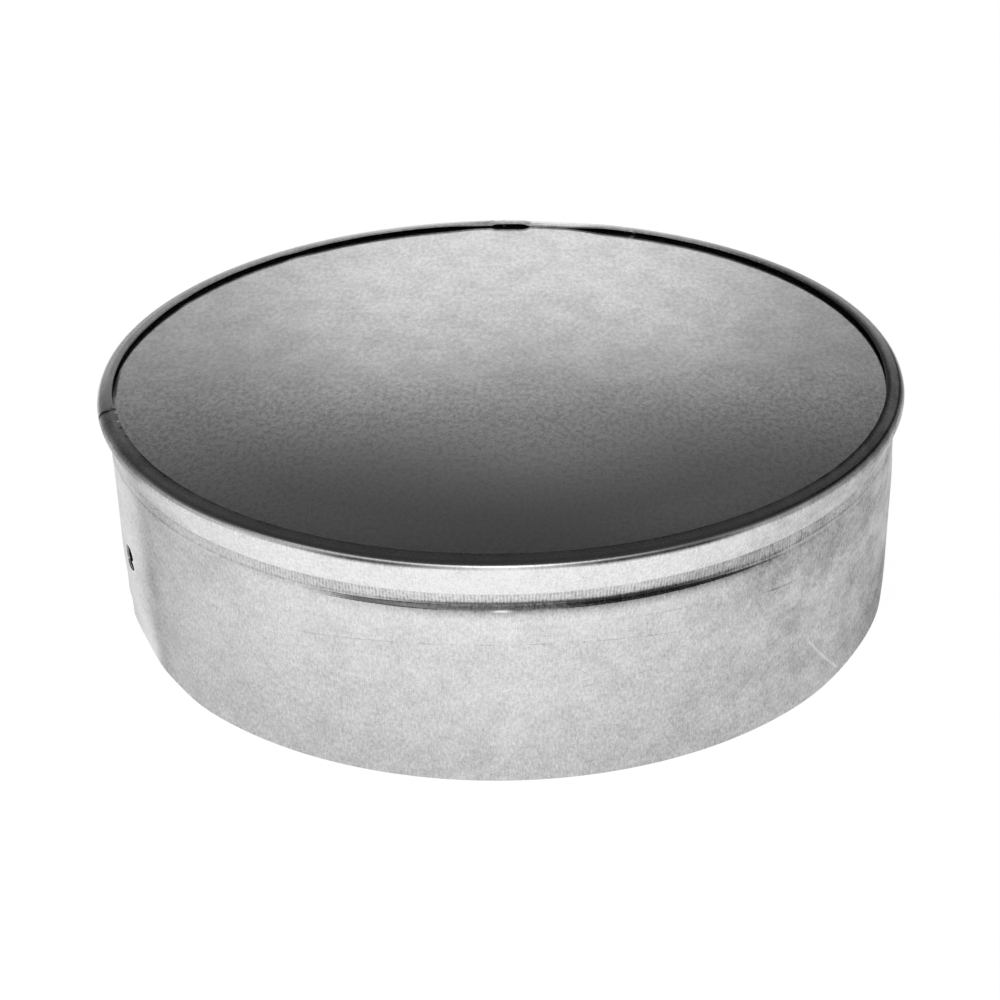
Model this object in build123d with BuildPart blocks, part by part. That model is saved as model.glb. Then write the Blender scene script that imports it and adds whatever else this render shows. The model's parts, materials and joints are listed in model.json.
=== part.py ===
from build123d import *
from math import cos, degrees, hypot, radians, sin, tan
import os

# An end cap for round sheet-metal duct, in millimetres. It stands on its open edge:
# the origin is on the duct's axis at the open edge, and +Z goes up through the closed end.
# The collar is one rolled strip. Above its plain wall it turns in to a crease, rises in a short
# neck, flares out in a band that stops the duct, and folds in over the end disc, a shallow pan
# whose skirt sits in the flare. At the left the strip's ends lap in the wall, with a screw hole
# through both, and butt above it.

# Driving dimensions of the collar
duct_bore = 203.2          # inside diameter of the duct that the cap closes, 8 in
slide_clearance = 0.3      # room between the wall and the duct, on the radius
sheet = 0.5                # thickness of the strip
wall_height = 45.9         # the plain wall, from the open edge up to its sharp corner
crease_rise = 0.9          # from there up to the crease
crease_depth = 0.8         # how far the crease lies in from the wall
neck_rise = 3.2            # from the crease up to where the band flares out
neck_depth = 0.1           # how far the neck lies in from the wall there
head_rise = 9.5            # from there up to the top of the lip
band_step = 3.15           # how far the corner of band and lip lies out from the wall
shoulder_radius = 2.0      # bend at that corner, outside
lip_width = 5.25           # reach of the lip in from that corner
lip_fall = 8.9             # slope of the lip down towards that corner, degrees

# Driving dimensions of the lap at the left, along the wall
lap_angle = 194.3          # where the outer end of the strip stops, from +X
lap_width = 25.4           # overlap of the strip's two ends, 1 in
joggle_run = 8.5           # length over which the strip dips in under its other end
joggle_land = 7.0          # length that lies dipped before the outer end covers it
notch_depth = 2.0          # how far below the top of the wall the dip stops
tongue_height = 1.5        # how far the inner end runs up behind the wall above the lap
butt_gap = 0.4             # gap between the strip's ends above the lap
hole_diameter = 6.35       # screw hole through the lap, 1/4 in
hole_height = 24.0         # its centre above the open edge
cut_margin = 1.0           # how far a cut runs past what it cuts

# Driving dimensions of the end disc
disc_sheet = 0.5           # its thickness
disc_depth = 1.5           # from the top of the lip down to the disc
disc_corner = 1.3          # bevel between the disc and its skirt, outside
skirt_depth = 7.8          # from the top of the disc down to the skirt's foot
seat_gap = 0.05            # room between the skirt and the band it sits in

# Radii and heights that follow
crease_height = wall_height + crease_rise
neck_height = crease_height + neck_rise
cap_height = neck_height + head_rise
wall_radius = duct_bore / 2 - slide_clearance
crease_radius = wall_radius - crease_depth
neck_radius = wall_radius - neck_depth
corner_radius = wall_radius + band_step
lip_radius = corner_radius - lip_width
corner_z = cap_height - lip_width * tan(radians(lip_fall))
flare = (corner_radius - neck_radius) / (corner_z - neck_height)  # outwards for each mm up
lap_top = wall_height - notch_depth
disc_top = cap_height - disc_depth
bevel_z = disc_top - disc_corner
foot_z = disc_top - skirt_depth


def turn(length):
    """The angle, in degrees, that a length along the wall takes up."""
    return degrees(length / wall_radius)


def skirt_radius(height):
    """The radius of the skirt's outside at a height, where it follows the flare of the band."""
    band_outside = neck_radius + flare * (height - neck_height)
    return band_outside - (sheet + seat_gap) * hypot(1, flare)


# Angles that follow, round from +X
inner_end_angle = lap_angle + turn(lap_width)
land_angle = lap_angle - turn(joggle_land)
joggle_angle = land_angle - turn(joggle_run)
hole_angle = (lap_angle + inner_end_angle) / 2
butt_angle = lap_angle - turn(butt_gap / 2)


def outwards(angle):
    """The level direction away from the axis at an angle."""
    return Vector(cos(radians(angle)), sin(radians(angle)), 0)


def radial_plane(angle):
    """The upright plane through the axis at an angle: X runs outwards and Y runs up."""
    return Plane(origin=(0, 0, 0), x_dir=outwards(angle), z_dir=outwards(angle - 90))


def tangent_plane(angle, radius, height):
    """The upright plane that touches a round of some radius, facing outwards."""
    return Plane(origin=outwards(angle) * radius + Vector(0, 0, height), z_dir=outwards(angle))


def wall_section(angle, outer_radius, top):
    """A plain stretch of the wall cut through at an angle, up to some height."""
    with BuildSketch(radial_plane(angle)) as section:
        with Locations((outer_radius, 0)):
            Rectangle(sheet, top, align=(Align.MAX, Align.MIN))
    return section.sketch


with BuildPart() as collar:
    # The strip all round: wall, crease, neck, band and lip, a folded line given its thickness
    with BuildSketch(Plane.XZ):
        with BuildLine():
            FilletPolyline(
                (wall_radius, 0),
                (wall_radius, wall_height),
                (crease_radius, crease_height),
                (neck_radius, neck_height),
                (corner_radius, corner_z),
                (lip_radius, cap_height),
                radius=(0, 0, 0, shoulder_radius),
            )
            offset(amount=sheet, side=Side.LEFT, kind=Kind.INTERSECTION)
        make_face()
    revolve(axis=Axis.Z)
    # The wall leaves its round from the joggle to the outer end of the strip
    gap_start = wall_section(joggle_angle, wall_radius, lap_top)
    revolve(gap_start, axis=Axis.Z, revolution_arc=lap_angle - joggle_angle, mode=Mode.SUBTRACT)
    # The joggle dips it in by its own thickness, and the inner end lies behind the outer one
    joggle_start = wall_section(joggle_angle, wall_radius, lap_top + tongue_height)
    land_start = wall_section(land_angle, wall_radius - sheet, lap_top + tongue_height)
    lap_start = wall_section(lap_angle, wall_radius - sheet, lap_top + tongue_height)
    loft([joggle_start.face(), land_start.face(), lap_start.face()], ruled=True)
    revolve(lap_start, axis=Axis.Z, revolution_arc=inner_end_angle - lap_angle)
    # The screw hole through both layers
    with BuildSketch(tangent_plane(hole_angle, wall_radius, hole_height)):
        Circle(hole_diameter / 2)
    extrude(amount=2 * sheet + cut_margin, both=True, mode=Mode.SUBTRACT)
    # The butt joint from the crease up to the lip, above the lap
    with BuildSketch(radial_plane(butt_angle)):
        with Locations((lip_radius - cut_margin, lap_top)):
            Rectangle(lip_width + 2 * cut_margin, cap_height, align=(Align.MIN, Align.MIN))
    extrude(amount=butt_gap / 2, both=True, mode=Mode.SUBTRACT)


with BuildPart() as end_disc:
    # A shallow pan: flat across, bevelled at its edge, with a skirt that follows the flare
    with BuildSketch(Plane.XZ):
        with BuildLine():
            Polyline(
                (0, disc_top),
                (skirt_radius(bevel_z) - disc_corner, disc_top),
                (skirt_radius(bevel_z), bevel_z),
                (skirt_radius(foot_z), foot_z),
            )
            offset(amount=disc_sheet, side=Side.RIGHT, kind=Kind.INTERSECTION)
        make_face()
    revolve(axis=Axis.Z)


collar.part.label = "collar"
end_disc.part.label = "end_disc"

os.makedirs("parts", exist_ok=True)
export_step(collar.part, "parts/collar.step")
export_step(end_disc.part, "parts/end_disc.step")
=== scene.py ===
import json
from math import cos, degrees, pi, radians, sin, tan

import bpy
import numpy as np
from bpy.props import FloatProperty, FloatVectorProperty, IntProperty, PointerProperty
from mathutils import Matrix, Vector


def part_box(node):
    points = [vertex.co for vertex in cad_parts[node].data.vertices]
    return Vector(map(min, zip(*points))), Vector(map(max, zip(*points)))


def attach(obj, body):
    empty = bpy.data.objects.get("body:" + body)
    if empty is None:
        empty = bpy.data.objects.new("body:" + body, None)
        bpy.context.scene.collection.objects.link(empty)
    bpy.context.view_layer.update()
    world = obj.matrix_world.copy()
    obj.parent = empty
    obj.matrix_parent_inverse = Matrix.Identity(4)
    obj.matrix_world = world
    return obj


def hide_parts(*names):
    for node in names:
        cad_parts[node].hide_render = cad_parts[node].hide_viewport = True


bl_info = {
    "name": "Duct End Cap",
    "version": (1, 0, 0),
    "blender": (4, 5, 0),
    "location": "View3D > Sidebar > Duct Cap",
    "description": "Dresses a sheet-metal end cap: its rolled collar, its end disc and a plain studio",
    "category": "Object",
}

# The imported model, in metres: the origin is on the axis at the open edge, and +Z goes up.
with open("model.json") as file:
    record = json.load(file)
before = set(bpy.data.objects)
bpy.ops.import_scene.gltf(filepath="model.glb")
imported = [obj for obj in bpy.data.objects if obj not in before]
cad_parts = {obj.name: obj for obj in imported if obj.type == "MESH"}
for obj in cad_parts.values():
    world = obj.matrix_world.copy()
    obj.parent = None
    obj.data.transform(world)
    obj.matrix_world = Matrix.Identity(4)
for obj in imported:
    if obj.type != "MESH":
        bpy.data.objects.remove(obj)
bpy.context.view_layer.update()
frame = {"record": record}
COLLAR_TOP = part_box("collar")[1]
DISC_LOW, DISC_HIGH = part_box("end_disc")
MOUNTS = {mount["name"]: mount for mount in frame["record"]["mounts"]}
MM = 0.001


# Settings


def a_length(name, description, default, low=0.0):
    """A setting for a length, in metres."""
    return FloatProperty(
        name=name, description=description, default=default, min=low, precision=6, unit="LENGTH")


def an_angle(name, description, default):
    """A setting for an angle, whose default is in degrees."""
    return FloatProperty(name=name, description=description, default=radians(default), subtype="ANGLE")


def a_grey(name, description, default):
    """A setting for a colour, whose default is a plain grey."""
    return FloatVectorProperty(
        name=name, description=description, default=(default,) * 3, min=0.0, max=1.0, subtype="COLOR")


class CollarSettings(bpy.types.PropertyGroup):
    """Sizes and finish of the rolled collar."""

    wall_radius: a_length(
        "Wall Radius", "Outside radius of the plain wall", MOUNTS["spigot"]["dims"]["r_mm"] * MM, low=0.03)
    height: a_length("Height", "From the open edge to the lip's free edge", COLLAR_TOP.z, low=0.01)
    sheet: a_length("Sheet", "Thickness of the strip", 0.5 * MM, low=0.1 * MM)
    wall_height: a_length(
        "Wall Height", "The plain wall, up to where it turns in",
        MOUNTS["spigot"]["dims"]["length_mm"] * MM, low=MM)
    crease_height: a_length("Crease Height", "The crease above the open edge", 46.8 * MM, low=MM)
    crease_depth: a_length("Crease Depth", "How far the crease lies in from the wall, on the whole", 0.8 * MM)
    neck_height: a_length(
        "Neck Height", "Where the ribbed neck ends and the band flares out", 50.0 * MM, low=MM)
    neck_depth: a_length("Neck Depth", "How far the neck lies in from the wall there", 0.1 * MM)
    band_step: a_length("Band Step", "How far the corner of band and lip lies out from the wall", 3.15 * MM)
    lip_width: a_length("Lip Width", "Reach of the lip in from that corner", 5.25 * MM, low=MM)
    lip_drop: a_length("Lip Drop", "How far the lip falls from its free edge to that corner", 0.822 * MM)
    lap_angle: an_angle("Lap Angle", "Where the strip's outer end stops, round from +X", 194.3)
    lap_width: a_length("Lap Width", "How far the strip's two ends overlap in the wall", 25.4 * MM)
    hole_height: a_length(
        "Hole Height", "The screw hole's centre above the open edge",
        MOUNTS["screw_hole"]["pos_m"][2], low=0.005)
    hole_radius: a_length(
        "Hole Radius", "Radius of the screw hole through the lap",
        MOUNTS["screw_hole"]["dims"]["r_mm"] * MM, low=MM)
    columns: IntProperty(
        name="Columns", description="Steps round the strip", default=760, min=120, max=900)
    zinc: a_grey("Zinc", "Bright zinc of the wall", 0.90)
    # Its dark colour serves for soil and specks, and for painted shade
    soil_and_shade: a_grey("Soil", "Dark soil in creases and specks", 0.05)


class DiscSettings(bpy.types.PropertyGroup):
    """Sizes and finish of the end disc."""

    radius: a_length("Radius", "Outside radius of the skirt", DISC_HIGH.x, low=0.03)
    top: a_length("Top", "Height of the disc's face above the open edge", DISC_HIGH.z, low=0.01)
    foot: a_length("Foot", "Height of the skirt's foot above the open edge", DISC_LOW.z, low=0.01)
    corner: a_length("Corner", "Bevel between the face and the skirt", 1.3 * MM, low=0.1 * MM)
    foot_radius: a_length("Foot Radius", "Outside radius of the skirt at its foot", 100.69 * MM, low=0.03)
    sheet: a_length("Sheet", "Thickness of the disc", 0.5 * MM, low=0.1 * MM)
    wave: a_length("Wave", "How far the face swells and sinks", 0.035 * MM)
    zinc: a_grey("Zinc", "Zinc of the face", 0.88)
    blotch: a_grey("Blotch", "Duller zinc between the bright grains", 0.46)


class StageSettings(bpy.types.PropertyGroup):
    """The plain studio and the camera."""

    floor: a_grey("Floor", "Pale floor under the cap", 0.85)
    dusk: a_grey("Upper Studio", "The dim room above the white walls", 0.033)
    wall_top: an_angle("Wall Top", "How high the studio's white walls reach, seen from the cap", 25.3)
    front_top: an_angle("Front Top", "How high they reach behind the camera", 59)
    wall_blur: an_angle("Wall Blur", "How softly the white walls end", 2.0)
    lens: FloatProperty(
        name="Lens", description="Focal length for a 36 mm wide picture",
        default=76.75, min=10.0)
    camera_back: a_length("Camera Distance", "How far in front of the axis the camera stands", 0.5026)
    camera_up: a_length("Camera Height", "How high the camera stands above the open edge", 0.2928)
    camera_pitch: an_angle("Camera Pitch", "How far the camera looks down", 28.615)
    camera_yaw: an_angle("Camera Yaw", "How far the camera turns to the right", -0.094)
    camera_roll: an_angle("Camera Roll", "How far the camera leans", -0.962)


# Shaping


def soft_step(low, high, value):
    """0 up to low and 1 from high on, with a smooth change between them."""
    t = np.clip((np.asarray(value, float) - low) / (high - low), 0, 1)
    return t * t * (3 - 2 * t)


def hump(centre, half_width, value):
    """1 at the centre, fading smoothly to 0 at half a width to each side."""
    return 1 - soft_step(0, half_width, np.abs(np.asarray(value, float) - centre))


def bent_line(corners, bends, runs, bend_step):
    """Rows along a folded line with rounded corners.

    Each row is (radius, height, outward normal's two parts, length run so far). Each run between
    corners lists the shares of its length at which it has rows, and its ends have rows anyway.
    """
    corners = [np.array(c, float) for c in corners]
    cuts = [(corners[0], corners[0])]
    arcs = [None]
    for before, here, after, bend in zip(corners, corners[1:], corners[2:], bends):
        into = (here - before) / np.linalg.norm(here - before)
        out = (after - here) / np.linalg.norm(after - here)
        turn = np.arctan2(into[0] * out[1] - into[1] * out[0], into @ out)
        back = bend * tan(abs(turn) / 2)
        start = here - into * back
        side = np.array([-into[1], into[0]]) * np.sign(turn)
        cuts.append((start, here + out * back))
        arcs.append((start + side * bend, start, turn))
    cuts.append((corners[-1], corners[-1]))
    rows = []

    def add(point, normal):
        step = 0 if not rows else np.hypot(point[0] - rows[-1][0], point[1] - rows[-1][1])
        run = 0 if not rows else rows[-1][4] + step
        rows.append((point[0], point[1], normal[0], normal[1], run))

    for i in range(len(corners) - 1):
        start, end = cuts[i][1], cuts[i + 1][0]
        along = (end - start) / np.linalg.norm(end - start)
        normal = np.array([along[1], -along[0]])
        for share in ([0.0] if i == 0 else []) + list(runs[i]) + [1.0]:
            add(start + (end - start) * share, normal)
        if i + 1 < len(corners) - 1:
            centre, first, turn = arcs[i + 1]
            steps = max(2, round(abs(turn) / bend_step))
            for k in range(1, steps + 1):
                a = turn * k / steps
                spin = np.array([[cos(a), -sin(a)], [sin(a), cos(a)]])
                add(centre + spin @ (first - centre), spin @ normal)
    return np.array(rows)


def follow(table, value):
    """What a table of pairs says at some place: straight runs between pairs, and level beyond the ends."""
    places, amounts = zip(*table)
    return np.interp(value, places, amounts)


def build_mesh(name, points, faces, place, marks):
    """A mesh object from points and faces, with a map of the unrolled sheet and named marks on its points."""
    mesh = bpy.data.meshes.new(name)
    mesh.from_pydata([tuple(p) for p in points], [], faces)
    layer = mesh.uv_layers.new(name="sheet_place")
    corner_points = np.zeros(len(mesh.loops), int)
    mesh.loops.foreach_get("vertex_index", corner_points)
    layer.uv.foreach_set("vector", np.asarray(place, np.float32)[corner_points].ravel())
    for mark, values in marks.items():
        attribute = mesh.attributes.new(mark, "FLOAT", "POINT")
        attribute.data.foreach_set("value", np.asarray(values, np.float32))
    made = bpy.data.objects.new(name, mesh)
    bpy.context.scene.collection.objects.link(made)
    return made


def give_thickness(piece, thickness):
    """Turns a single skin into sheet of that thickness, grown inwards and smooth between its edges."""
    solidify = piece.modifiers.new("sheet", "SOLIDIFY")
    solidify.thickness = thickness
    solidify.offset = -1
    solidify.use_even_offset = True
    settled = bpy.context.evaluated_depsgraph_get()
    mesh = bpy.data.meshes.new_from_object(piece.evaluated_get(settled))
    piece.modifiers.clear()
    piece.data = mesh
    mesh.polygons.foreach_set("use_smooth", [True] * len(mesh.polygons))
    mesh.set_sharp_from_angle(angle=radians(38))


# The collar's shape

BUTT_GAP = 0.4 * MM          # between the strip's ends above the lap
NOTCH_DEPTH = 2.0 * MM       # how far below the top of the wall the dip stops
TONGUE_HEIGHT = 1.5 * MM     # how far the inner end runs up behind the wall above the lap
LAP_ROOM = 0.03 * MM         # room between the two layers of the lap
DIP_TURN = (8.77, 4.0)       # where the dip starts and is full, in degrees before the outer end
HOLE_SQUARE = 6.5 * MM       # half the width of the square of sheet round each screw hole
HOLE_ROWS = (17.5 * MM, 30.5 * MM)    # its lowest and highest rows
LIP_BELOW = 0.06 * MM        # how far the lip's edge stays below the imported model's top
LIP_START = 2.4 * MM         # how far in from the band's corner the lip starts to ripple

# Heights of the rows of points up the wall, in millimetres
WALL_ROWS = (0.12, 0.6, 2, 5, 9, 13.5, 17.5, 19, 20.6, 22.3, 24, 25.7, 27.4, 29, 30.5, 34, 38, 41.4,
             43.1, 43.7, 43.95, 44.6, 45.2, 45.55)

# Rings of points round a screw hole: their size, how much wider they are, and how far they stand out
HOLE_RINGS = ((2.6, 1.0, 0.0), (1.5, 1.0, 0.02), (1.12, 1.25, 0.08), (1.0, 1.3, 0.16))

# What changes round this cap, by the angle from +X in degrees: first the crease's depth, in millimetres
CREASE_DEPTH = ((232, 0.1), (243, 0.16), (254, 0.65), (264, 1.1), (290, 1.1), (299, 0.7),
                (305, 0.3), (311, 0.1))
# How dark the crease is painted, as shade, and how much shade is painted on the wall and the band
CREASE_SHADE = ((232, 0), (242, 0.03), (252, 0.22), (262, 0.50), (270, 0.60), (284, 0.64),
               (300, 0.36), (308, 0.20), (314, 0.12), (322, 0.05), (334, 0))
WALL_SHADE = ((0, 0.27), (90, 0.1), (180, 0.05), (196, 0.08), (204, 0.12), (207, 0.18), (212, 0.30),
             (225, 0.11), (240, 0.05), (255, 0.02), (270, -0.02), (285, 0.06), (300, 0.11), (315, 0.15),
             (330, 0.29), (345, 0.34), (360, 0.27))
BAND_SHADE = ((180, 0), (198, 0.22), (203, 0.16), (208, 0.28), (225, 0.04), (240, -0.02),
             (290, -0.03), (303, 0.03), (315, 0.17), (330, 0.26), (345, 0))
# How much of the wall's painted shading up its height shows, and how dark the lip's free edge is painted, as
# shade
HEIGHT_SHADE_SHARE = ((215, 0.3), (238, 1), (288, 1), (306, 0.6), (360, 0.3))
RIM_SHADE = ((0, 1.5), (60, 0), (190, 0), (196, 0.2), (215, 0.7), (300, 0.7), (360, 1.5))
# How grey the ribbed neck is painted, greyer at the sides as shade, and how deep its ribs are
NECK_SHADE = ((0, 1), (190, 2.4), (235, 2.0), (262, 1.0), (285, 1.3), (300, 2.9), (320, 2.6), (345, 1))
RIB_DEPTH = ((0, 0.5), (230, 0.2), (245, 0.9), (285, 0.9), (305, 0.55), (360, 0.5))
# Where a painted dark line runs along the shoulder, and where the lip is painted paler with a thin dark line
# beside it
SHOULDER_LINE = ((244, 0), (250, 1), (257, 1), (263, 0), (277, 0), (282, 1), (296, 1), (303, 0))
RIGHT_SIDE = ((0, 1), (10, 0), (296, 0), (310, 1))
# Tables by millimetres: across the crease from its bottom, and up from the open edge
CREASE_SPREAD = ((-4.0, 0), (-3.0, 0.15), (-2.2, 0.40), (-1.5, 0.75), (-0.9, 1), (-0.4, 1), (0.1, 0.8),
                 (0.5, 0.4), (1.0, 0.12), (1.6, 0))
WALL_HEIGHT_SHADE = ((0, 0.13), (6, 0.12), (14, 0.05), (24, 0), (36, -0.04), (42, -0.10))
# The angle where the lap's inner end shows on the wall, by millimetres up from the open edge
LAP_SIDE = ((0, 209.2), (19, 209.1), (39, 208.9), (51, 206.7))


def collar_rows(s):
    """The strip's outer face from the open edge up to the lip's free edge."""
    corner = s.wall_radius + s.band_step
    lip_edge = corner - s.lip_width
    lip_top = s.height - LIP_BELOW
    corners = [
        (s.wall_radius, 0),
        (s.wall_radius, s.wall_height),
        (s.wall_radius - s.crease_depth, s.crease_height),
        (s.wall_radius - s.neck_depth, s.neck_height),
        (corner, lip_top - s.lip_drop),
        (lip_edge, lip_top),
    ]
    bends = [0.45 * MM, 0.4 * MM, 0.5 * MM, 2.0 * MM]
    runs = [
        [z * MM / s.wall_height for z in WALL_ROWS],
        [0.5],
        [0.12, 0.3, 0.6, 0.86, 0.95],
        [0.05, 0.1, 0.3, 0.6, 0.85],
        [0.25, 0.5, 0.75, 0.93],
    ]
    return bent_line(corners, bends, runs, bend_step=radians(12)), corner, lip_edge


def lap_places(s):
    """The angles where the strip's outer end stops and where it butts a turn later, and the lap's height."""
    lap_start = degrees(s.lap_angle)
    butt_end = lap_start + 360 - degrees(BUTT_GAP / s.wall_radius)
    return lap_start, butt_end, s.wall_height - NOTCH_DEPTH


def pressed_stretch(seen):
    """How much the lip is pressed down at the back, by the angle."""
    return (1 - soft_step(84.0, 86.0, seen)) * soft_step(71.0, 78.5, seen)


def bent_strip(s, angle, radius, height, outward, lip_share):
    """Where points of the strip really lie, with the dip, the waviness and the dents of this cap."""
    lap_start, butt_end, notch = lap_places(s)
    turn = np.radians(angle)
    seen = angle % 360
    around = (seen + 180) % 360 - 180
    # The strip dips in under its other end, below the notch
    dip_starts, dip_full = DIP_TURN
    dip_in = soft_step(lap_start + 360 - dip_starts, lap_start + 360 - dip_full, angle)
    under_notch = 1 - soft_step(notch - 0.25 * MM, notch + 0.05 * MM, height)
    dip = -(s.sheet + LAP_ROOM) * np.where(angle > butt_end + 1e-6, 1.0, dip_in * under_notch)
    # The wall is a little out of round
    slack = (1 - soft_step(s.wall_height - 3 * MM, s.wall_height, height)) * soft_step(0, 4 * MM, height)
    loose = 0.5 + 0.2 * np.sin(3 * turn + 0.8) + 0.17 * np.sin(7 * turn + 2.1)
    loose = loose + 0.13 * np.sin(13 * turn + 0.4)
    shift = -0.10 * MM * loose * slack * np.sin(pi * np.clip(height / s.wall_height, 0, 1))
    # Its open edge is drawn in at the left and at the right, and at the right it swells above that
    low = 1 - soft_step(0, 22 * MM, height)
    drawn = 1.75 * hump(203, 19, seen) + 0.45 * hump(217, 8, seen) + 0.5 * hump(330, 16, seen)
    shift = shift - low * MM * drawn
    middle = soft_step(-4 * MM, 8 * MM, height) * (1 - soft_step(34 * MM, 45 * MM, height))
    shift = shift + 0.5 * MM * hump(-9, 24, around) * middle
    # The band is drawn in at the right
    flared = soft_step(s.crease_height, s.height - 3 * MM, height)
    shift = shift - 0.45 * MM * flared * hump(0, 40, around)
    # The crease is pressed in deeply at the front only, and sags at the front's right
    below = (height - s.wall_height) / (s.crease_height - s.wall_height)
    above = (s.neck_height - height) / (s.neck_height - s.crease_height)
    near_crease = np.clip(np.minimum(below, above), 0, 1)
    shift = shift + (s.crease_depth - follow(CREASE_DEPTH, seen) * MM) * near_crease
    sag = 0.55 * MM * soft_step(274, 284, seen) * (1 - soft_step(306, 316, seen)) * near_crease
    # The lip's free edge ripples, and at the back it is pinched down and, further round, pressed down
    ripple = 0.35 * np.sin(23 * turn + 1.0) + 0.3 * np.sin(41 * turn + 2.0) + 0.35 * np.sin(67 * turn)
    edge = MM * (ripple - 1) * (0.04 + 0.01 * soft_step(190, 200, seen))
    pinched = 0.4 * hump(126.5, 4.0, seen) + 0.25 * hump(152, 2.5, seen)
    pinched = pinched + 0.8 * soft_step(101, 92.5, seen) * soft_step(90.6, 91.2, seen)
    pressed = pressed_stretch(seen)
    edge = edge - MM * np.maximum(0.46 * pressed, 0.60 * pinched)
    lift = edge * lip_share - sag - 0.35 * MM * pressed * soft_step(54 * MM, 58.4 * MM, height)
    # Behind the seam, the lip's free edge stands back from the disc
    behind = soft_step(158, 182, seen) * (seen < lap_start - 0.3)
    r = radius + dip * outward + shift + 0.7 * MM * behind * lip_share
    return np.stack([r * np.cos(turn), r * np.sin(turn), height + lift], -1)


def strip_marks(s, rows, angle, height, run, lip_share, near_hole):
    """What the finish needs to know at each point: painted shade and light, tone and the kind of surface."""
    butt_end = lap_places(s)[1]
    seen = angle % 360
    around = (seen + 180) % 360 - 180
    in_tail = angle > butt_end + 1e-6
    outer = ~in_tail
    crease_run = float(run[np.argmin(abs(height - s.crease_height))])
    neck_run = float(run[np.argmin(abs(height - s.neck_height))]) - crease_run
    above = run - crease_run
    # Shade is painted in the crease and on the ledge under it, most of all at the front
    crease = follow(CREASE_SPREAD, above / MM) * follow(CREASE_SHADE, seen)
    # A short painted highlight lies below the crease at the front
    painted_glint = hump(269.6, 1.7, seen) * hump(-1.25 * MM, 0.30 * MM, above)
    knurl = soft_step(0.2 * MM, 0.6 * MM, above)
    knurl = knurl * (1 - soft_step(neck_run - 0.12 * MM, neck_run + 0.12 * MM, above))
    # The lap is painted brighter than the wall beside it, as a reflection
    lap_side = follow(LAP_SIDE, height / MM)
    lap = (1 - soft_step(lap_side - 1.5, lap_side + 1.5, seen)) * soft_step(180, 186, seen)
    low_wall = 1 - soft_step(s.wall_height, s.wall_height + 2 * MM, height)
    # Painted shading: in front the wall is darker at its open edge and lighter near its top, and the right is
    # darker low down
    height_shade = follow(WALL_HEIGHT_SHADE, height / MM) * follow(HEIGHT_SHADE_SHARE, seen)
    near_top = soft_step(32 * MM, 44 * MM, height)
    height_shade = height_shade + 0.16 * hump(316, 34, seen) * near_top
    right_edge = soft_step(-34, -16, around) * (1 - soft_step(0, 18, around))
    height_shade = height_shade + 0.24 * right_edge * (1 - soft_step(4 * MM, 24 * MM, height))
    height_shade = height_shade + 0.10 * (1 - soft_step(195, 204, seen)) * soft_step(180, 190, seen)
    height_shade = height_shade + 0.10 * hump(226, 14, seen) * soft_step(34 * MM, 44 * MM, height)
    height_shade = height_shade - 0.12 * hump(206, 12, seen) * (1 - soft_step(3 * MM, 12 * MM, height))
    shading = follow(WALL_SHADE, seen) + height_shade * (1 - soft_step(s.wall_height, s.crease_height, height))
    # The band is painted darker at the sides, as shade, and its top is painted darker there too
    on_head = soft_step(s.neck_height - 0.3 * MM, s.neck_height + 0.3 * MM, height)
    on_lip = soft_step(0.2, 0.5, lip_share)
    shoulder_shade = 0.30 * hump(198, 20, seen) + 0.20 * hump(-8, 18, around) + 0.5 * hump(194.3, 0.7, seen)
    shoulder_shade = shoulder_shade * soft_step(55.4 * MM, 57.0 * MM, height)
    shading = shading + on_head * (1 - on_lip) * (follow(BAND_SHADE, seen) + shoulder_shade)
    # Dark lines are painted along the shoulder, and at the right the lip is painted paler between two of them
    upward = np.interp(run, rows[:, 4], rows[:, 3])
    right_side = follow(RIGHT_SIDE, seen)
    underline = hump(0.45, 0.26, upward) * follow(SHOULDER_LINE, seen)
    underline = underline + 0.6 * hump(0.93, 0.07, upward) * right_side
    shading = shading - 0.14 * on_lip * right_side
    mottled = soft_step(285, 315, seen) * (1 - soft_step(350, 359, seen)) * soft_step(0, 14 * MM, height)
    return {
        "underline": underline * outer,
        "flat_lip": pressed_stretch(seen) * soft_step(0.0, 0.2, lip_share),
        # Painted shade in the crease, and in the inner layer round its screw hole
        "crease": np.where(in_tail, near_hole, crease),
        "line": painted_glint * outer,
        "knurl": knurl * outer * follow(NECK_SHADE, seen),
        "ribbed": knurl * outer * follow(RIB_DEPTH, seen),
        # A thin dark line painted where the band meets the neck, as shade
        "ring": hump(neck_run, 0.3 * MM, above) * outer,
        "lap": lap * low_wall,
        "lap_shade": hump(0, 4.5, seen - lap_side - 2.5) * low_wall,
        "aged": shading,
        "mottled": mottled,
        "band": soft_step(0.3 * MM, 1.0 * MM, above) * (1 - on_lip),
        "lip": on_lip,
        # The lip's free edge painted darker, as shade
        "rim": soft_step(0.66, 0.84, lip_share) * follow(RIM_SHADE, seen),
        "cut": near_hole * outer,
    }


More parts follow.
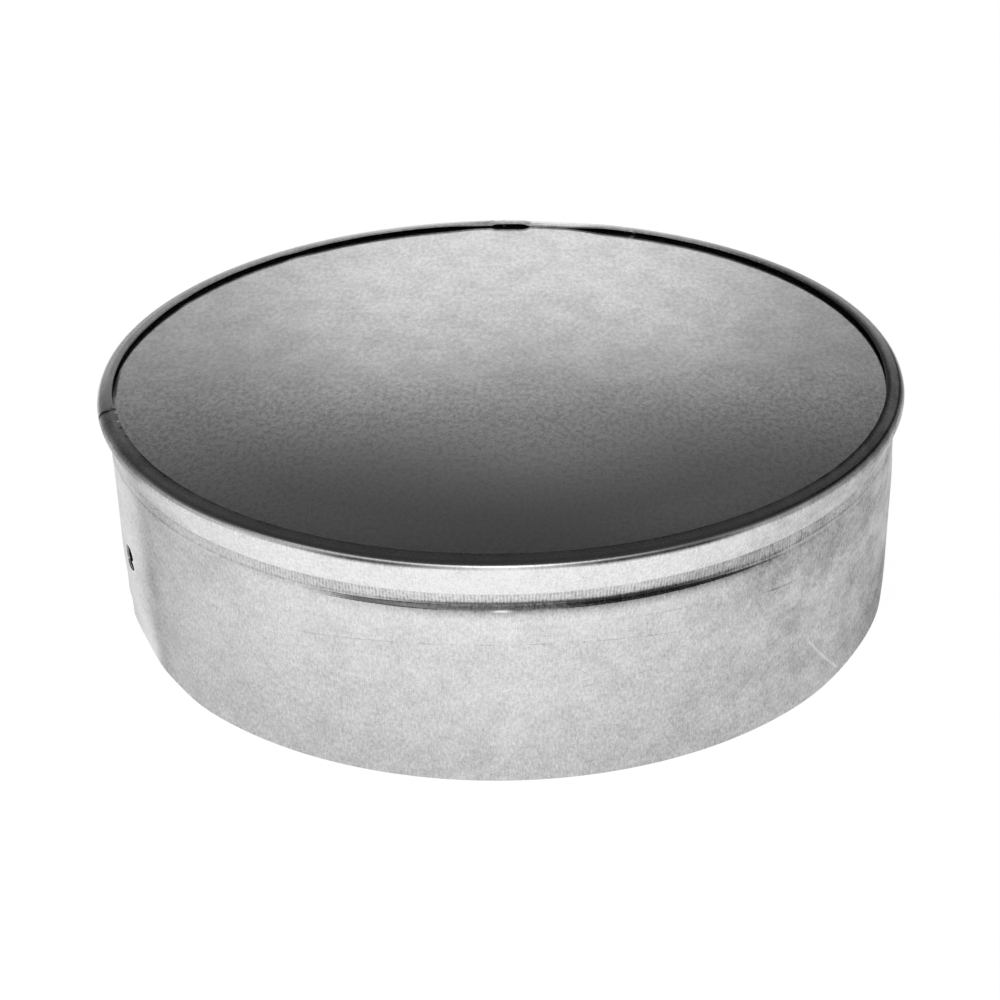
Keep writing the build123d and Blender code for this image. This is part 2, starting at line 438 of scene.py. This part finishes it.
def collar_skin(s):
    """Points, faces, places and marks of the strip's outer face, with its lap, holes, dents and marks."""
    rows, corner, lip_edge = collar_rows(s)
    radius, height, outward, _, run = rows.T
    lap_start, butt_end, notch = lap_places(s)
    lap_turn = degrees(s.lap_width / s.wall_radius)
    hole_angle = lap_start + lap_turn / 2
    step = 360 / s.columns
    angles = list(np.linspace(lap_start, butt_end, s.columns + 1))
    tail = list(np.linspace(butt_end, lap_start + 360 + lap_turn, round(lap_turn / step) + 1)[1:])
    angles = np.array(angles + tail)
    first_tail = s.columns + 1
    angle, row = np.meshgrid(angles, np.arange(len(rows)), indexing="ij")

    lip_start = corner - LIP_START
    lip_share = np.clip((lip_start - radius) / (lip_start - lip_edge), 0, 1)
    lip_share = np.where(height > s.height - 2 * MM, lip_share, 0)
    points = bent_strip(s, angle, radius[row], height[row], outward[row], lip_share[row])
    place = np.stack([np.radians(angle - lap_start) * s.wall_radius, run[row]], -1)

    # The strip's faces, with a square left out round each layer's screw hole
    tongue_row = max(j for j in range(len(rows)) if height[j] <= notch + TONGUE_HEIGHT + 1e-9)
    hole_low, hole_high = (int(np.argmin(abs(height - z))) for z in HOLE_ROWS)
    index = np.arange(angle.size).reshape(angle.shape)
    faces = []
    holes = []
    half = degrees(HOLE_SQUARE / s.wall_radius)
    for centre in (hole_angle, hole_angle + 360):
        first = int(np.argmin(abs(angles - (centre - half))))
        last = int(np.argmin(abs(angles - (centre + half))))
        holes.append((first, last, centre))
    for i in range(len(angles) - 1):
        top = tongue_row if i + 1 >= first_tail else len(rows) - 1
        for j in range(top):
            if any(first <= i < last for first, last, _ in holes) and hole_low <= j < hole_high:
                continue
            faces.append((index[i, j], index[i + 1, j], index[i + 1, j + 1], index[i, j + 1]))

    points = [tuple(p) for p in points.reshape(-1, 3)]
    place = list(map(tuple, place.reshape(-1, 2)))
    known = np.stack([angle, height[row], run[row], lip_share[row], np.zeros(angle.shape)], -1)
    known = known.reshape(-1, 5).tolist()

    # Round each hole, rings of points lead from its cut edge out to the rows and columns
    for first, last, centre in holes:
        inner_layer = centre > 360
        rim = [(i, hole_low) for i in range(first, last)]
        rim += [(last, j) for j in range(hole_low, hole_high)]
        rim += [(i, hole_high) for i in range(last, first, -1)]
        rim += [(first, j) for j in range(hole_high, hole_low, -1)]
        previous = [index[i, j] for i, j in rim]
        across = np.array([(radians(angles[i] - centre) * s.wall_radius, height[j] - s.hole_height)
                           for i, j in rim])
        spread = np.arctan2(across[:, 1], across[:, 0])
        for reach, wider, raised in HOLE_RINGS:
            ring = []
            for k, a in enumerate(spread):
                # A burr reaches in from the hole's right side
                burr = 0.5 * float(hump(0.0, 0.42, a)) if reach == 1.0 and not inner_layer else 0
                size = s.hole_radius * reach * (1 - burr)
                x, z = size * wider * cos(a), size * sin(a)
                if reach > 2:
                    x, z = across[k] * 0.45 + s.hole_radius * 1.5 * 0.55 * np.array([cos(a), sin(a)])
                here = centre + degrees(x / s.wall_radius)
                level = s.hole_height + z
                point = bent_strip(s, np.array(here), s.wall_radius, level, 1.0, 0.0)
                push = raised * MM * (0.6 + 0.4 * sin(3 * a + 1)) * (-1 if inner_layer else 0.6)
                point = point + push * np.array([cos(radians(here)), sin(radians(here)), 0])
                ring.append(len(points))
                points.append(tuple(point))
                place.append((radians(here - lap_start) * s.wall_radius, level))
                known.append((here, level, level, 0.0, float(soft_step(1.6, 1.0, reach))))
            count = len(ring)
            for k in range(count):
                n = (k + 1) % count
                faces.append((previous[k], previous[n], ring[n], ring[k]))
            previous = ring

    return points, faces, place, strip_marks(s, rows, *np.array(known).T)


# The disc's shape

DISC_SECTORS = 240
EDGE_RINGS = (98.0, 98.5, 99.0, 99.5, 100.1)    # radii of the closer rings near the face's edge, in mm


def disc_skin(s):
    """Points, faces, places and marks of the disc's upper side: its face, its bevel and its skirt."""
    flat = s.radius - s.corner
    bevel_low = s.top - s.corner
    rings = list(np.linspace(0, 97.2 * MM, 54)[1:]) + [r * MM for r in EDGE_RINGS] + [flat]
    line = [(r, s.top) for r in rings]
    line += [(flat + s.corner * k / 3, s.top - s.corner * k / 3) for k in (1, 2, 3)]
    for k in (0.66, 0.33, 0.0):
        line.append((s.foot_radius + (s.radius - s.foot_radius) * k, s.foot + (bevel_low - s.foot) * k))
    points, place, faces, dark = [(0.0, 0.0, s.top)], [(0.0, 0.0)], [], [0.0]
    run = 0.0
    last = (0.0, s.top)
    for r, z in line:
        run += float(np.hypot(r - last[0], z - last[1]))
        last = (r, z)
        calm = 1 - float(soft_step(0.8 * flat, flat, r))
        for k in range(DISC_SECTORS):
            a = 2 * pi * k / DISC_SECTORS
            x, y = r * cos(a), r * sin(a)
            # The face swells and sinks a little, and has a shallow hollow near the front
            swell = sin(x / 0.0115 + 0.6) * cos(y / 0.021 + 0.2) + sin((x + 0.6 * y) / 0.0165 + 2.0)
            from_hollow = (x - 12 * MM) ** 2 + (y + 38 * MM) ** 2
            hollow = 0.06 * MM * float(np.exp(-from_hollow / (2 * (20 * MM) ** 2)))
            points.append((x, y, z - (s.wave * (1 + 0.5 * swell) + hollow) * calm * (z == s.top)))
            # Painted shadow under the lip at the left
            near = float(hump(184, 14, degrees(a)))
            shadow_start = 99.8 * MM - 1.3 * MM * near
            dark.append(near * float(soft_step(shadow_start, shadow_start + 0.3 * MM, r)))
            place.append((run * cos(a), run * sin(a)))
    points[0] = (0.0, 0.0, points[1][2])
    for k in range(DISC_SECTORS):
        n = (k + 1) % DISC_SECTORS
        faces.append((0, 1 + k, 1 + n))
        for j in range(len(line) - 1):
            low, high = 1 + j * DISC_SECTORS, 1 + (j + 1) * DISC_SECTORS
            faces.append((low + k, high + k, high + n, low + n))
    return points, faces, place, {"dark": dark}


# Building finishes


class Nodes:
    """A tree of nodes that is built one line at a time."""

    def __init__(self, tree):
        self.tree = tree

    def add(self, kind, plugs=None, **settings):
        """Adds a node, with its settings and with what goes into its sockets."""
        made = self.tree.nodes.new(kind)
        for name, value in settings.items():
            setattr(made, name, value)
        for socket, value in (plugs or {}).items():
            self.plug(made.inputs[socket], value)
        return made

    def plug(self, socket, value):
        """Links another node's output to a socket, or sets the socket's own value."""
        if isinstance(value, bpy.types.NodeSocket):
            self.tree.links.new(value, socket)
        else:
            socket.default_value = value

    def sum(self, operation, *values, clamp=False):
        """One step of arithmetic."""
        plugs = dict(enumerate(values))
        return self.add("ShaderNodeMath", plugs, operation=operation, use_clamp=clamp).outputs[0]

    def plus(self, total, value, share, clamp=False):
        """A total with a share of some value added to it."""
        return self.sum("ADD", total, self.sum("MULTIPLY", value, share), clamp=clamp)

    def rest(self, value):
        """What is left of 1 when a value is taken away."""
        return self.sum("SUBTRACT", 1.0, value)

    def remap(self, value, low, high, new_low=0.0, new_high=1.0, **settings):
        """A value brought from one range into another."""
        plugs = {"Value": value, "From Min": low, "From Max": high, "To Min": new_low, "To Max": new_high}
        return self.add("ShaderNodeMapRange", plugs, **settings).outputs[0]

    def grain(self, place, size, low, high, detail=3.0, rough=0.55):
        """Noise with grains of some size in metres, cut so that it runs from 0 to 1 between low and high."""
        scale = tuple(1 / x if x else 0 for x in size)
        scaled = self.add("ShaderNodeVectorMath", {0: place, 1: scale}, operation="MULTIPLY").outputs[0]
        plugs = {"Vector": scaled, "Scale": 1.0, "Detail": detail, "Roughness": rough}
        return self.remap(self.add("ShaderNodeTexNoise", plugs).outputs["Fac"], low, high)

    def blend(self, factor, one, other):
        """A colour between two others."""
        mix = self.add("ShaderNodeMix", data_type="RGBA")
        self.plug(mix.inputs["Factor"], factor)
        self.plug(mix.inputs["A"], one)
        self.plug(mix.inputs["B"], other)
        return mix.outputs["Result"]


class Finish(Nodes):
    """A new material and its nodes."""

    def __init__(self, name):
        self.material = bpy.data.materials.new(name)
        self.material.use_nodes = True
        super().__init__(self.material.node_tree)
        self.shader = self.tree.nodes["Principled BSDF"]

    def mark(self, name):
        """A mark that the mesh carries on its points."""
        return self.add("ShaderNodeAttribute", attribute_name=name).outputs["Fac"]

    def surface(self, colour, metallic, rough, relief):
        """Sets the surface's colour, metal and roughness, and its relief in metres."""
        bump = self.add("ShaderNodeBump", {"Strength": 1.0, "Distance": 1.0, "Height": relief})
        plugs = {"Base Color": colour, "Metallic": metallic, "Roughness": rough, "Normal": bump.outputs[0]}
        for socket, value in plugs.items():
            self.plug(self.shader.inputs[socket], value)


def shade(colour):
    """A colour property as a socket's four numbers."""
    return (*colour, 1.0)


# The collar's finish

RIB_PITCH = 0.80 * MM        # between the ribs that the roller's teeth leave

# Scratches on the wall, each from one angle and height to another, with its bow and half its width
SCRATCHES = (
    ((241, 34.0), (294.5, 34.6), 2.7, 0.16),
    ((275, 34.1), (282, 25.9), 0.3, 0.14),
    ((276, 23.5), (292, 26.5), 0.5, 0.14),
    ((304.2, 38.4), (313.2, 37.2), -0.5, 0.30),
    ((284, 41.0), (300, 40.2), 0.4, 0.14),
)
PALE_STREAK = ((315.4, 18.3), (325.0, 1.2), -0.9, 0.8)

# Spots on the lip: the angle, how far in from its free edge, and the radius. The angles run on past 360.
BURR_GLINTS = ((195.2, 0.25, 0.5), (198.1, 0.25, 0.6), (451.1, 2.4, 0.7), (449.1, 2.4, 0.7), (426.7, 0.6, 0.9),
         (426.7, 3.0, 0.7))
PITS = ((200.3, 0.3, 0.7), (203.3, 0.3, 0.6))


def on_strip(s, angle, up):
    """Where a spot at an angle, so many millimetres up the strip, lies on the unrolled strip."""
    return radians(angle - degrees(s.lap_angle)) * s.wall_radius, up * MM


def scratch(finish, s, along, up, line):
    """A thin bowed scratch on the unrolled strip, fading at its ends."""
    start, end = on_strip(s, *line[0]), on_strip(s, *line[1])
    bow, width = line[2] * MM, line[3] * MM
    share = finish.sum("DIVIDE", finish.sum("SUBTRACT", along, start[0]), end[0] - start[0])
    arch = finish.sum("MULTIPLY", share, finish.rest(share))
    rise = finish.sum("MULTIPLY", share, end[1] - start[1])
    middle = finish.sum("ADD", finish.plus(rise, arch, 4 * bow), start[1])
    away = finish.sum("ABSOLUTE", finish.sum("SUBTRACT", up, middle))
    thin = finish.sum("SUBTRACT", 1.0, finish.sum("DIVIDE", away, width), clamp=True)
    return finish.sum("MULTIPLY", thin, finish.sum("MULTIPLY", arch, 14.0, clamp=True))


def spots(finish, s, along, up, places):
    """Small round spots near the lip's free edge."""
    edge = float(collar_rows(s)[0][-1][4]) / MM
    found = 0.0
    for angle, back, size in places:
        x, y = on_strip(s, angle, edge - back)
        across = finish.sum("DIVIDE", finish.sum("SUBTRACT", along, x), size * MM)
        over = finish.sum("DIVIDE", finish.sum("SUBTRACT", up, y), size * MM)
        away = finish.sum("ADD", finish.sum("MULTIPLY", across, across), finish.sum("MULTIPLY", over, over))
        found = finish.sum("MAXIMUM", found, finish.sum("SUBTRACT", 1.2, away, clamp=True))
    return found


def collar_finish(s):
    """Bright galvanized strip with roller streaks, mottling, specks, a ribbed neck, painted shade in its
    crease and painted glints.
    """
    finish = Finish("collar_steel")
    place = finish.add("ShaderNodeUVMap", uv_map="sheet_place").outputs[0]
    apart = finish.add("ShaderNodeSeparateXYZ", {0: place}).outputs
    along, up = apart[0], apart[1]
    fine = finish.grain(place, (0.30 * MM, 0.40 * MM, 0), 0.32, 0.68, detail=2.0)
    grit = finish.grain(place, (0.7 * MM, 1.1 * MM, 0), 0.32, 0.68, detail=2.0)
    streak = finish.grain(place, (0.26 * MM, 2.2 * MM, 0), 0.34, 0.70, detail=1.5)
    round_it = finish.add("ShaderNodeTexCoord").outputs["Object"]
    patch = finish.grain(round_it, (2.6 * MM, 7 * MM, 2.8 * MM), 0.36, 0.68, detail=3.0)
    cloud = finish.grain(round_it, (9 * MM, 24 * MM, 9 * MM), 0.36, 0.66, detail=3.0)
    speck = finish.grain(place, (0.55 * MM, 0.8 * MM, 0), 0.70, 0.78, detail=1.5)
    mottled = finish.mark("mottled")

    # How dull each spot is, from 0 for bright zinc to 1 for soil, with painted shade and light added
    dull = finish.sum("MULTIPLY", fine, 0.17)
    dull = finish.plus(dull, grit, 0.18)
    dull = finish.plus(dull, streak, 0.11)
    dull = finish.plus(dull, patch, finish.sum("MULTIPLY_ADD", mottled, 0.06, 0.07))
    dull = finish.plus(dull, cloud, finish.sum("MULTIPLY_ADD", mottled, 0.08, 0.07))
    dull = finish.plus(dull, speck, 0.36)
    dull = finish.sum("ADD", dull, finish.sum("MULTIPLY_ADD", finish.mark("band"), -0.20, -0.01))
    # Painted shading round the cap, up the wall and on the band
    dull = finish.sum("ADD", dull, finish.mark("aged"))
    # The lap is painted brighter as a reflection, with painted shade beside it
    for name, share in (("lap", -0.06), ("lap_shade", 0.06), ("ring", 0.10)):
        dull = finish.plus(dull, finish.mark(name), share)

    # The roller's teeth leave upright ribs above the crease: their relief is bumped, and their stripes and
    # the neck's grey are painted in as well, partly as shade
    waver = finish.grain(place, (3 * MM, 0, 0), 0.0, 1.0, detail=1.0)
    turned = finish.sum("MULTIPLY_ADD", along, 2 * pi / RIB_PITCH, finish.sum("MULTIPLY", waver, 3.0))
    rib = finish.sum("MULTIPLY_ADD", finish.sum("SINE", turned), 0.5, 0.5)
    rib_depth = finish.grain(place, (0.9 * MM, 0.8 * MM, 0), 0.25, 0.72, detail=1.0)
    ribs = finish.sum("MULTIPLY", finish.sum("MULTIPLY", rib, rib_depth), finish.mark("ribbed"))
    dull = finish.plus(dull, ribs, 0.40)
    dull = finish.plus(dull, finish.mark("knurl"), 0.10)

    # Fine broken scratches lie on the wall, and one wide pale streak low down at the right
    marked = 0.0
    for line in SCRATCHES:
        marked = finish.sum("MAXIMUM", marked, scratch(finish, s, along, up, line))
    broken = finish.grain(place, (6 * MM, 6 * MM, 0), 0.38, 0.52, detail=1.0)
    dull = finish.plus(dull, finish.sum("MULTIPLY", marked, broken), 0.22)
    dull = finish.plus(dull, scratch(finish, s, along, up, PALE_STREAK), -0.22)

    # Bright scuffs break up the crease's painted shade
    scuff = finish.grain(place, (0.7 * MM, 0.25 * MM, 0), 0.66, 0.74, detail=1.0)
    dull = finish.plus(dull, finish.mark("crease"), finish.rest(finish.sum("MULTIPLY", scuff, 0.8)))
    # The lip is painted darker as shade, with painted dark lines along the shoulder; the pressed patch is
    # painted brighter
    pressed = finish.mark("flat_lip")
    for name, share in (("lip", 0.10), ("rim", 0.40), ("underline", 0.9)):
        dull = finish.plus(dull, finish.mark(name), share)
    dull = finish.plus(dull, pressed, -0.25)
    # The painted highlight below the crease at the front
    dull = finish.sum("SUBTRACT", dull, finish.mark("line"))
    dull = finish.plus(dull, finish.mark("cut"), -0.08, clamp=True)
    colour = finish.blend(dull, shade(s.zinc), shade(s.soil_and_shade))

    # White spots painted as glints on burrs, and dark pits, lie on the lip, at the seam and at the back
    burr = spots(finish, s, along, up, BURR_GLINTS)
    pit = spots(finish, s, along, up, PITS)
    colour = finish.blend(finish.sum("MULTIPLY", pit, 0.8), colour, shade(s.soil_and_shade))
    colour = finish.blend(burr, colour, (0.95, 0.95, 0.95, 1.0))
    rough = finish.plus(finish.sum("MULTIPLY_ADD", dull, 0.25, 0.20), pressed, -0.12)
    relief = finish.sum("MULTIPLY", ribs, 0.030 * MM)
    relief = finish.plus(relief, finish.sum("ADD", streak, fine), 0.0018 * MM)
    swell = finish.grain(place, (7 * MM, 11 * MM, 0), 0.0, 1.0, detail=1.0)
    relief = finish.plus(relief, swell, 0.004 * MM)
    finish.surface(colour, finish.rest(burr), rough, relief)
    return finish.material


# The disc's finish


def disc_finish(s):
    """Galvanized face: fine soft grains, duller clouds, faint drawn lines and short dark specks."""
    finish = Finish("disc_steel")
    place = finish.add("ShaderNodeTexCoord").outputs["Object"]
    grain = finish.grain(place, (1.2 * MM, 2.3 * MM, 1.0 * MM), 0.33, 0.68, detail=2.0, rough=0.6)
    fine = finish.grain(place, (0.5 * MM, 0.95 * MM, 1.0 * MM), 0.33, 0.68, detail=1.5)
    cloud = finish.grain(place, (9 * MM, 12 * MM, 1.0 * MM), 0.36, 0.66, detail=4.0)
    drawn = finish.grain(place, (7 * MM, 0.7 * MM, 1.0 * MM), 0.45, 0.75, detail=3.0)
    speck = finish.grain(place, (1.1 * MM, 0.8 * MM, 1.0 * MM), 0.735, 0.79, detail=1.0)
    dull = finish.plus(finish.sum("MULTIPLY", grain, 0.34), fine, 0.20)
    # The grains stand out more towards the front
    depth = finish.add("ShaderNodeSeparateXYZ", {0: place}).outputs[1]
    forward = finish.remap(depth, 0.0, -85 * MM, 1.1, 6.5)
    dull = finish.sum("MULTIPLY_ADD", finish.sum("SUBTRACT", dull, 0.27), forward, 0.34)
    dull = finish.plus(dull, cloud, 0.24)
    dull = finish.plus(dull, drawn, 0.05, clamp=True)
    colour = finish.blend(dull, shade(s.zinc), shade(s.blotch))
    colour = finish.blend(finish.sum("MULTIPLY", speck, 0.55), colour, (0.10, 0.10, 0.10, 1.0))
    # Painted shadow under the lip at the left
    colour = finish.blend(finish.mark("dark"), colour, (0.01, 0.01, 0.01, 1.0))
    rough = finish.sum("MULTIPLY_ADD", dull, 0.04, 0.115)
    finish.surface(colour, 1.0, rough, finish.sum("MULTIPLY", finish.plus(grain, fine, 0.6), 0.0020 * MM))
    return finish.material


# The floor's finish and the studio's walls

DARK_INSIDE = 97 * MM        # the floor glows only further than this from the axis


def floor_finish(s):
    """A pale floor that reads white and keeps a faint shadow."""
    finish = Finish("pale_floor")
    finish.tree.nodes.remove(finish.shader)
    rays = finish.add("ShaderNodeLightPath").outputs
    seen = finish.sum("MAXIMUM", rays["Is Glossy Ray"], rays["Is Transmission Ray"])
    seen = finish.sum("MAXIMUM", rays["Is Camera Ray"], seen)
    place = finish.add("ShaderNodeTexCoord").outputs["Object"]
    cloud = finish.grain(place, (0.4, 0.4, 0.4), 0.3, 0.7)
    colour = finish.blend(cloud, shade(s.floor), shade([c * 0.98 for c in s.floor]))
    diffuse = finish.add("ShaderNodeBsdfDiffuse", {"Color": colour}).outputs[0]
    # Inside the cap the floor lies in the dark
    away = finish.add("ShaderNodeVectorMath", {0: place}, operation="LENGTH").outputs["Value"]
    seen = finish.sum("MULTIPLY", seen, finish.sum("GREATER_THAN", away, DARK_INSIDE))
    glow = finish.add("ShaderNodeEmission", {"Color": (1, 1, 1, 1), "Strength": 1.13}).outputs[0]
    plugs = {0: finish.sum("MULTIPLY", seen, 0.86), 1: diffuse, 2: glow}
    mix = finish.add("ShaderNodeMixShader", plugs).outputs[0]
    finish.plug(finish.tree.nodes["Material Output"].inputs["Surface"], mix)
    return finish.material


# How white the studio's walls are, by the angle from straight back, in degrees: less than 0 to the left.
# First behind the cap, then behind the camera, low down and high up.
BACK_WALLS = ((-120, 0.0), (-96, 0.40), (-57, 0.42), (-45, 0.30), (-31, 0.32), (-20, 0.40), (-12, 0.48),
              (-8.7, 0.56), (-6.3, 0.72), (-4.3, 0.92), (-2.8, 1.0), (3.2, 1.0), (4.8, 0.93), (6.6, 0.76),
              (8.7, 0.53), (12, 0.44), (20, 0.36), (31, 0.25), (45, 0.19), (57, 0.38), (70, 0.42),
              (96, 0.42), (120, 0.0))
FRONT_LOW = ((-180, 0.95), (-171, 0.6), (-161, 0.35), (-150, 0.12), (-141, 0.12), (-132, 0.25),
             (-120, 0.45), (-104, 0.45), (-80, 0.0), (80, 0.0), (104, 0.2), (112, 0.2), (122, 0.05),
             (150, 0.04), (161, 0.3), (170, 0.6), (180, 0.95))
FRONT_WALL = ((-180, 1.0), (-150, 0.97), (-139, 0.85), (-127, 0.75), (-115, 0.6), (-100, 0.5), (-80, 0.0),
              (80, 0.0), (104, 0.15), (113, 0.1), (121, 0.2), (130, 0.42), (139, 0.65), (150, 0.95),
              (180, 1.0))


# Operators


class DUCTCAP_OT_roll_collar(bpy.types.Operator):
    """Roll the collar's strip with its lap, crease, flared band and folded lip"""

    bl_idname = "ductcap.roll_collar"
    bl_label = "Roll Collar"
    bl_options = {"REGISTER", "UNDO"}

    def execute(self, context):
        s = context.scene.duct_collar
        points, faces, place, marks = collar_skin(s)
        collar = build_mesh("rolled_collar", points, faces, place, marks)
        give_thickness(collar, s.sheet)
        collar.data.materials.append(collar_finish(s))
        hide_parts("collar")
        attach(collar, "root")
        return {"FINISHED"}


class DUCTCAP_OT_press_disc(bpy.types.Operator):
    """Press the end disc with its bevelled corner and skirt"""

    bl_idname = "ductcap.press_disc"
    bl_label = "Press Disc"
    bl_options = {"REGISTER", "UNDO"}

    def execute(self, context):
        s = context.scene.duct_disc
        points, faces, place, marks = disc_skin(s)
        disc = build_mesh("pressed_disc", points, faces, place, marks)
        give_thickness(disc, s.sheet)
        disc.data.materials.append(disc_finish(s))
        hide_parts("end_disc")
        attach(disc, "root")
        return {"FINISHED"}


class DUCTCAP_OT_set_stage(bpy.types.Operator):
    """Set the pale floor, the soft light and the camera"""

    bl_idname = "ductcap.set_stage"
    bl_label = "Set Stage"
    bl_options = {"REGISTER", "UNDO"}

    def execute(self, context):
        s = context.scene.duct_stage
        self.lay_floor(s)
        self.light_room(context, s)
        self.stand_camera(context, s)
        context.scene.view_settings.view_transform = "Standard"
        return {"FINISHED"}

    def lay_floor(self, s):
        """A wide floor just below the open edge."""
        mesh = bpy.data.meshes.new("floor")
        mesh.from_pydata([(-0.9, -0.5, 0), (0.9, -0.5, 0), (0.9, 0.9, 0), (-0.9, 0.9, 0)], [], [(0, 1, 2, 3)])
        floor = bpy.data.objects.new("floor", mesh)
        floor.location.z = -0.0004
        bpy.context.scene.collection.objects.link(floor)
        mesh.materials.append(floor_finish(s))

    def light_room(self, context, s):
        """White studio walls up to some height with a dim room above them, and a large soft lamp."""
        world = bpy.data.worlds.new("studio")
        world.use_nodes = True
        context.scene.world = world
        room = Nodes(world.node_tree)
        direction = room.add("ShaderNodeTexCoord").outputs["Generated"]
        x, y, z = room.add("ShaderNodeSeparateXYZ", {0: direction}).outputs
        lift = room.sum("ARCSINE", z)
        turn = room.sum("ARCTAN2", x, y)
        aside = room.sum("ABSOLUTE", turn)

        def rise(value, low, high):
            """0 below one angle and 1 above another, in degrees."""
            return room.remap(value, radians(low), radians(high), interpolation_type="SMOOTHSTEP")

        def level(levels):
            """How white a wall is, by the angle to each side."""
            ramp = room.add("ShaderNodeValToRGB", {0: room.sum("MULTIPLY_ADD", turn, 0.5 / pi, 0.5)})
            stops = ramp.color_ramp.elements
            stops.remove(stops[1])
            for k, (angle, white) in enumerate(levels):
                stop = stops[0] if k == 0 else stops.new((angle + 180) / 360)
                stop.position = (angle + 180) / 360
                stop.color = (white, white, white, 1.0)
            return ramp.outputs[0]

        # Behind the cap, low walls that are darker at both sides, and higher at the right
        higher = room.sum("MULTIPLY", rise(turn, 60, 76), radians(11))
        top = room.sum("SUBTRACT", room.sum("ADD", higher, s.wall_top), lift)
        blur = degrees(s.wall_blur)
        back = room.sum("MULTIPLY", rise(top, -blur, blur), level(BACK_WALLS))
        # Behind the camera, a white wall high up, dimmer ones below it, and a white one at the floor
        front_top = degrees(s.front_top)
        high = room.sum("SUBTRACT", rise(lift, 42, 48), rise(lift, front_top - 4, front_top + 4))
        low = room.sum("SUBTRACT", rise(lift, 4, 12), rise(lift, 42, 48))
        foot = room.sum("MULTIPLY", room.rest(rise(lift, 4, 12)), rise(aside, 96, 116))
        walls = room.plus(room.sum("ADD", back, foot), high, level(FRONT_WALL))
        walls = room.plus(walls, low, level(FRONT_LOW), clamp=True)
        # A faint haze lies over the walls, but not straight behind the cap
        haze = room.sum("MULTIPLY", rise(aside, 2, 9), room.rest(rise(lift, 40, 46)))
        walls = room.plus(walls, haze, 0.014)
        camera_ray = room.add("ShaderNodeLightPath").outputs["Is Camera Ray"]
        walls = room.sum("MAXIMUM", walls, camera_ray)
        colour = room.blend(walls, shade(s.dusk), (1.0, 1.0, 1.0, 1.0))
        room.plug(world.node_tree.nodes["Background"].inputs["Color"], colour)

        lamp = bpy.data.lights.new("front_softbox", "AREA")
        lamp.shape = "DISK"
        lamp.size = 0.6
        lamp.energy = 0.75
        stand = bpy.data.objects.new("front_softbox", lamp)
        stand.location = (0.0, -0.95, 1.25)
        aim = Vector((0, 0, 0.05)) - stand.location
        stand.rotation_euler = aim.to_track_quat("-Z", "Y").to_euler()
        bpy.context.scene.collection.objects.link(stand)

    def stand_camera(self, context, s):
        """The camera in front of the cap, turned and leaning as the settings say."""
        yaw, pitch, roll = s.camera_yaw, s.camera_pitch, s.camera_roll
        ahead = Vector((sin(yaw) * cos(pitch), cos(yaw) * cos(pitch), -sin(pitch)))
        level = Vector((cos(yaw), -sin(yaw), 0))
        upright = level.cross(ahead)
        right = cos(roll) * level + sin(roll) * upright
        above = -sin(roll) * level + cos(roll) * upright
        data = bpy.data.cameras.new("camera")
        data.lens = s.lens
        data.sensor_width = 36.0
        data.clip_start = 0.01
        camera = bpy.data.objects.new("camera", data)
        axes = Matrix((right, above, -ahead)).transposed().to_4x4()
        camera.matrix_world = Matrix.Translation((0, -s.camera_back, s.camera_up)) @ axes
        context.scene.collection.objects.link(camera)
        context.scene.camera = camera


class DUCTCAP_PT_sidebar(bpy.types.Panel):
    """The cap's steps and their settings."""

    bl_idname = "DUCTCAP_PT_sidebar"
    bl_label = "Duct End Cap"
    bl_space_type = "VIEW_3D"
    bl_region_type = "UI"
    bl_category = "Duct Cap"

    def draw(self, context):
        for operator, settings in STEPS:
            box = self.layout.box()
            box.operator(operator)
            group = getattr(context.scene, settings)
            for name in group.bl_rna.properties.keys():
                if name not in ("rna_type", "name"):
                    box.prop(group, name)


STEPS = (
    ("ductcap.roll_collar", "duct_collar"),
    ("ductcap.press_disc", "duct_disc"),
    ("ductcap.set_stage", "duct_stage"),
)
SETTINGS = {"duct_collar": CollarSettings, "duct_disc": DiscSettings, "duct_stage": StageSettings}
CLASSES = (*SETTINGS.values(), DUCTCAP_OT_roll_collar, DUCTCAP_OT_press_disc, DUCTCAP_OT_set_stage,
           DUCTCAP_PT_sidebar)


def register():
    for cls in CLASSES:
        bpy.utils.register_class(cls)
    for name, group in SETTINGS.items():
        setattr(bpy.types.Scene, name, PointerProperty(type=group))


def unregister():
    for name in SETTINGS:
        delattr(bpy.types.Scene, name)
    for cls in reversed(CLASSES):
        bpy.utils.unregister_class(cls)


def main():
    register()
    bpy.ops.ductcap.roll_collar()
    bpy.ops.ductcap.press_disc()
    bpy.ops.ductcap.set_stage()


if __name__ == "__main__":
    main()
